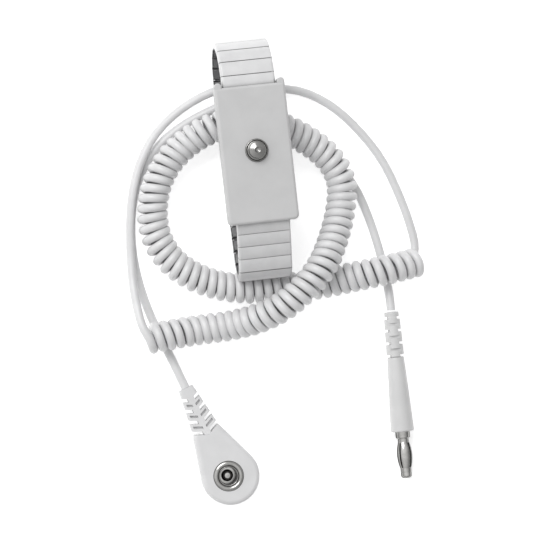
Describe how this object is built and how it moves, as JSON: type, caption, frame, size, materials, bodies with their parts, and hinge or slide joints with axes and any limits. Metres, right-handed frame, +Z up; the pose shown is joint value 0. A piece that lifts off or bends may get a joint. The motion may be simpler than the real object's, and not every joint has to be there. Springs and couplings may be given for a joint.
{
  "type": "esd wrist strap",
  "caption": "Anti-static wrist strap: metal expansion band with a snap-stud buckle and a coiled earth cord ending in a snap connector and a banana plug.",
  "frame": {"origin": "under the middle of the wristband, on the surface it stands on", "axes": "+Z up, +Y along the buckle and the band loop, +X across the band"},
  "size_m": [0.099, 0.1514, 0.0323],
  "materials": {
    "band_links": "satin light grey enamel on the caps, bare steel inside",
    "buckle_cover": "fine matte",
    "steel": "bare stainless",
    "nickel": "bright nickel plate",
    "snap_moulding": "soft moulded polyurethane",
    "plug_moulding": "satin moulded plastic",
    "cord_jacket": "satin polyurethane jacket",
    "resistor_body": "lacquered",
    "copper": "bare wire"
  },
  "bodies": {
    "band_base": {"link_14": "band_links", "snap_lead": "cord_jacket", "coil_cord": "cord_jacket", "plug_lead": "cord_jacket", "snap_head": "snap_moulding", "snap_strain_relief": "snap_moulding", "snap_socket": "nickel", "socket_back_cap": "nickel", "socket_spring": "steel", "resistor": "resistor_body", "resistor_leads": "copper", "plug_strain_relief": "plug_moulding", "plug_handle": "plug_moulding", "plug_wire": "copper", "plug_collar": "nickel", "plug_pin": "nickel"},
    "link_00": {"link_00": "band_links"},
    "link_01": {"link_01": "band_links"},
    "link_02": {"link_02": "band_links"},
    "link_03": {"link_03": "band_links"},
    "link_04": {"link_04": "band_links"},
    "link_05": {"link_05": "band_links"},
    "link_06": {"link_06": "band_links"},
    "link_07": {"link_07": "band_links"},
    "link_08": {"link_08": "band_links"},
    "link_09": {"link_09": "band_links"},
    "link_10": {"link_10": "band_links"},
    "link_11": {"link_11": "band_links"},
    "link_12": {"link_12": "band_links"},
    "link_13": {"link_13": "band_links"},
    "link_15": {"link_15": "band_links"},
    "link_16": {"link_16": "band_links"},
    "link_17": {"link_17": "band_links"},
    "link_18": {"link_18": "band_links"},
    "link_19": {"link_19": "band_links"},
    "link_20": {"link_20": "band_links"},
    "link_21": {"link_21": "band_links"},
    "link_22": {"link_22": "band_links"},
    "link_23": {"link_23": "band_links"},
    "link_24": {"link_24": "band_links"},
    "link_25": {"link_25": "band_links"},
    "link_26": {"link_26": "band_links"},
    "link_27": {"link_27": "band_links"},
    "link_28": {"link_28": "band_links"},
    "link_29": {"link_29": "band_links"},
    "buckle": {"buckle_cover": "buckle_cover", "buckle_back_plate": "steel", "snap_stud": "nickel", "stud_rivet": "nickel", "contact_washer": "steel", "contact_spring": "steel", "far_hinge_lugs": "steel", "near_hinge_lugs": "steel"},
    "plug_springs": {"plug_spring_cage": "nickel"}
  },
  "joints": [
    {"name": "band_stretch", "type": "slide", "parent": "band_base", "child": "link_13", "axis": [0, 1, 0], "range_m": [0, 0.0008363]},
    {"name": "stretch_13", "type": "slide", "parent": "link_13", "child": "link_12", "axis": [0, 1, 0], "range_m": [0, 0.0008371]},
    {"name": "stretch_12", "type": "slide", "parent": "link_12", "child": "link_11", "axis": [0, 1, 0], "range_m": [0, 0.0008371]},
    {"name": "stretch_11", "type": "slide", "parent": "link_11", "child": "link_10", "axis": [0, 1, 0], "range_m": [0, 0.0008371]},
    {"name": "stretch_10", "type": "slide", "parent": "link_10", "child": "link_09", "axis": [0, 0.9994, 0.0354], "range_m": [0, 0.0008371]},
    {"name": "band_flex", "type": "hinge", "parent": "link_09", "child": "link_08", "pos_m": [0, 0.02776, 0.00161], "axis": [1, 0, 0], "range_deg": [0, 5.53]},
    {"name": "flex_08", "type": "hinge", "parent": "link_08", "child": "link_07", "pos_m": [0, 0.03195, 0.00309], "axis": [1, 0, 0], "range_deg": [-2.57, 0]},
    {"name": "flex_07", "type": "hinge", "parent": "link_07", "child": "link_06", "pos_m": [0, 0.03533, 0.00596], "axis": [1, 0, 0], "range_deg": [-6.29, 0]},
    {"name": "stretch_06", "type": "slide", "parent": "link_06", "child": "link_05", "axis": [0, 0.1429, 0.9897], "range_m": [0, 0.00102]},
    {"name": "flex_05", "type": "hinge", "parent": "link_05", "child": "link_04", "pos_m": [0, 0.03812, 0.01424], "axis": [1, 0, 0], "range_deg": [-8.02, 0]},
    {"name": "stretch_04", "type": "slide", "parent": "link_04", "child": "link_03", "axis": [0, -0.5488, 0.8359], "range_m": [0, 0.00102]},
    {"name": "flex_03", "type": "hinge", "parent": "link_03", "child": "link_02", "pos_m": [0, 0.03472, 0.02228], "axis": [1, 0, 0], "range_deg": [-6.01, 0]},
    {"name": "flex_02", "type": "hinge", "parent": "link_02", "child": "link_01", "pos_m": [0, 0.03112, 0.02489], "axis": [1, 0, 0], "range_deg": [-2.77, 0]},
    {"name": "flex_01", "type": "hinge", "parent": "link_01", "child": "link_00", "pos_m": [0, 0.02684, 0.02606], "axis": [1, 0, 0], "range_deg": [0, 4.02]},
    {"name": "flex_00", "type": "hinge", "parent": "link_00", "child": "buckle", "pos_m": [0, 0.0224, 0.0261], "axis": [1, 0, 0], "range_deg": [0, 16.07]},
    {"name": "flex_15", "type": "hinge", "parent": "band_base", "child": "link_15", "pos_m": [0, 0.00113, 0.00145], "axis": [1, 0, 0], "range_deg": [0, 0.8237]},
    {"name": "flex_16", "type": "hinge", "parent": "link_15", "child": "link_16", "pos_m": [0, -0.00331, 0.00169], "axis": [1, 0, 0], "range_deg": [0, 0.1235]},
    {"name": "flex_17", "type": "hinge", "parent": "link_16", "child": "link_17", "pos_m": [0, -0.00767, 0.00248], "axis": [1, 0, 0], "range_deg": [-1.25, 0]},
    {"name": "flex_18", "type": "hinge", "parent": "link_17", "child": "link_18", "pos_m": [0, -0.01204, 0.00327], "axis": [1, 0, 0], "range_deg": [-2.7, 0]},
    {"name": "flex_19", "type": "hinge", "parent": "link_18", "child": "link_19", "pos_m": [0, -0.01641, 0.00407], "axis": [1, 0, 0], "range_deg": [-3.86, 0]},
    {"name": "flex_20", "type": "hinge", "parent": "link_19", "child": "link_20", "pos_m": [0, -0.02078, 0.00486], "axis": [1, 0, 0], "range_deg": [-4.38, 0]},
    {"name": "flex_21", "type": "hinge", "parent": "link_20", "child": "link_21", "pos_m": [0, -0.02515, 0.00565], "axis": [1, 0, 0], "range_deg": [-3.91, 0]},
    {"name": "flex_22", "type": "hinge", "parent": "link_21", "child": "link_22", "pos_m": [0, -0.02951, 0.00645], "axis": [1, 0, 0], "range_deg": [-2.29, 0]},
    {"name": "flex_23", "type": "hinge", "parent": "link_22", "child": "link_23", "pos_m": [0, -0.03387, 0.00729], "axis": [1, 0, 0], "range_deg": [0, 0.3543]},
    {"name": "flex_24", "type": "hinge", "parent": "link_23", "child": "link_24", "pos_m": [0, -0.03734, 0.01006], "axis": [1, 0, 0], "range_deg": [0, 4.06]},
    {"name": "flex_25", "type": "hinge", "parent": "link_24", "child": "link_25", "pos_m": [0, -0.03808, 0.01443], "axis": [1, 0, 0], "range_deg": [0, 6.54]},
    {"name": "flex_26", "type": "hinge", "parent": "link_25", "child": "link_26", "pos_m": [0, -0.03569, 0.01818], "axis": [1, 0, 0], "range_deg": [0, 6.49]},
    {"name": "stretch_27", "type": "slide", "parent": "link_26", "child": "link_27", "axis": [0, 0.8872, 0.4613], "range_m": [0, 0.0014]},
    {"name": "stretch_28", "type": "slide", "parent": "link_27", "child": "link_28", "axis": [0, 0.8976, 0.4409], "range_m": [0, 0.0014]},
    {"name": "stretch_29", "type": "slide", "parent": "link_28", "child": "link_29", "axis": [0, 0.8976, 0.4409], "range_m": [0, 0.0014]},
    {"name": "plug_spring_spin", "type": "hinge", "parent": "band_base", "child": "plug_springs", "pos_m": [0.0418, -0.0547, 0.00395], "axis": [-0.0162, -0.9999, 0], "continuous": true}
  ],
  "couplings": [
    {"joint": "stretch_13", "follows": "band_stretch", "ratio": 1},
    {"joint": "stretch_12", "follows": "band_stretch", "ratio": 1},
    {"joint": "stretch_11", "follows": "band_stretch", "ratio": 1},
    {"joint": "stretch_10", "follows": "band_stretch", "ratio": 1},
    {"joint": "flex_08", "follows": "band_flex", "ratio": -0.46361},
    {"joint": "flex_07", "follows": "band_flex", "ratio": -1.1345},
    {"joint": "stretch_06", "follows": "band_stretch", "ratio": 1.2128},
    {"joint": "flex_05", "follows": "band_flex", "ratio": -1.4474},
    {"joint": "stretch_04", "follows": "band_stretch", "ratio": 1.2128},
    {"joint": "flex_03", "follows": "band_flex", "ratio": -1.0842},
    {"joint": "flex_02", "follows": "band_flex", "ratio": -0.49968},
    {"joint": "flex_01", "follows": "band_flex", "ratio": 0.72634},
    {"joint": "flex_00", "follows": "band_flex", "ratio": 2.9005},
    {"joint": "flex_15", "follows": "band_flex", "ratio": 0.14867},
    {"joint": "flex_16", "follows": "band_flex", "ratio": 0.02229},
    {"joint": "flex_17", "follows": "band_flex", "ratio": -0.22615},
    {"joint": "flex_18", "follows": "band_flex", "ratio": -0.4868},
    {"joint": "flex_19", "follows": "band_flex", "ratio": -0.69649},
    {"joint": "flex_20", "follows": "band_flex", "ratio": -0.79014},
    {"joint": "flex_21", "follows": "band_flex", "ratio": -0.70533},
    {"joint": "flex_22", "follows": "band_flex", "ratio": -0.41412},
    {"joint": "flex_23", "follows": "band_flex", "ratio": 0.06395},
    {"joint": "flex_24", "follows": "band_flex", "ratio": 0.73274},
    {"joint": "flex_25", "follows": "band_flex", "ratio": 1.1803},
    {"joint": "flex_26", "follows": "band_flex", "ratio": 1.1712},
    {"joint": "stretch_27", "follows": "band_stretch", "ratio": 1.674},
    {"joint": "stretch_28", "follows": "band_stretch", "ratio": 1.674},
    {"joint": "stretch_29", "follows": "band_stretch", "ratio": 1.674}
  ]
}
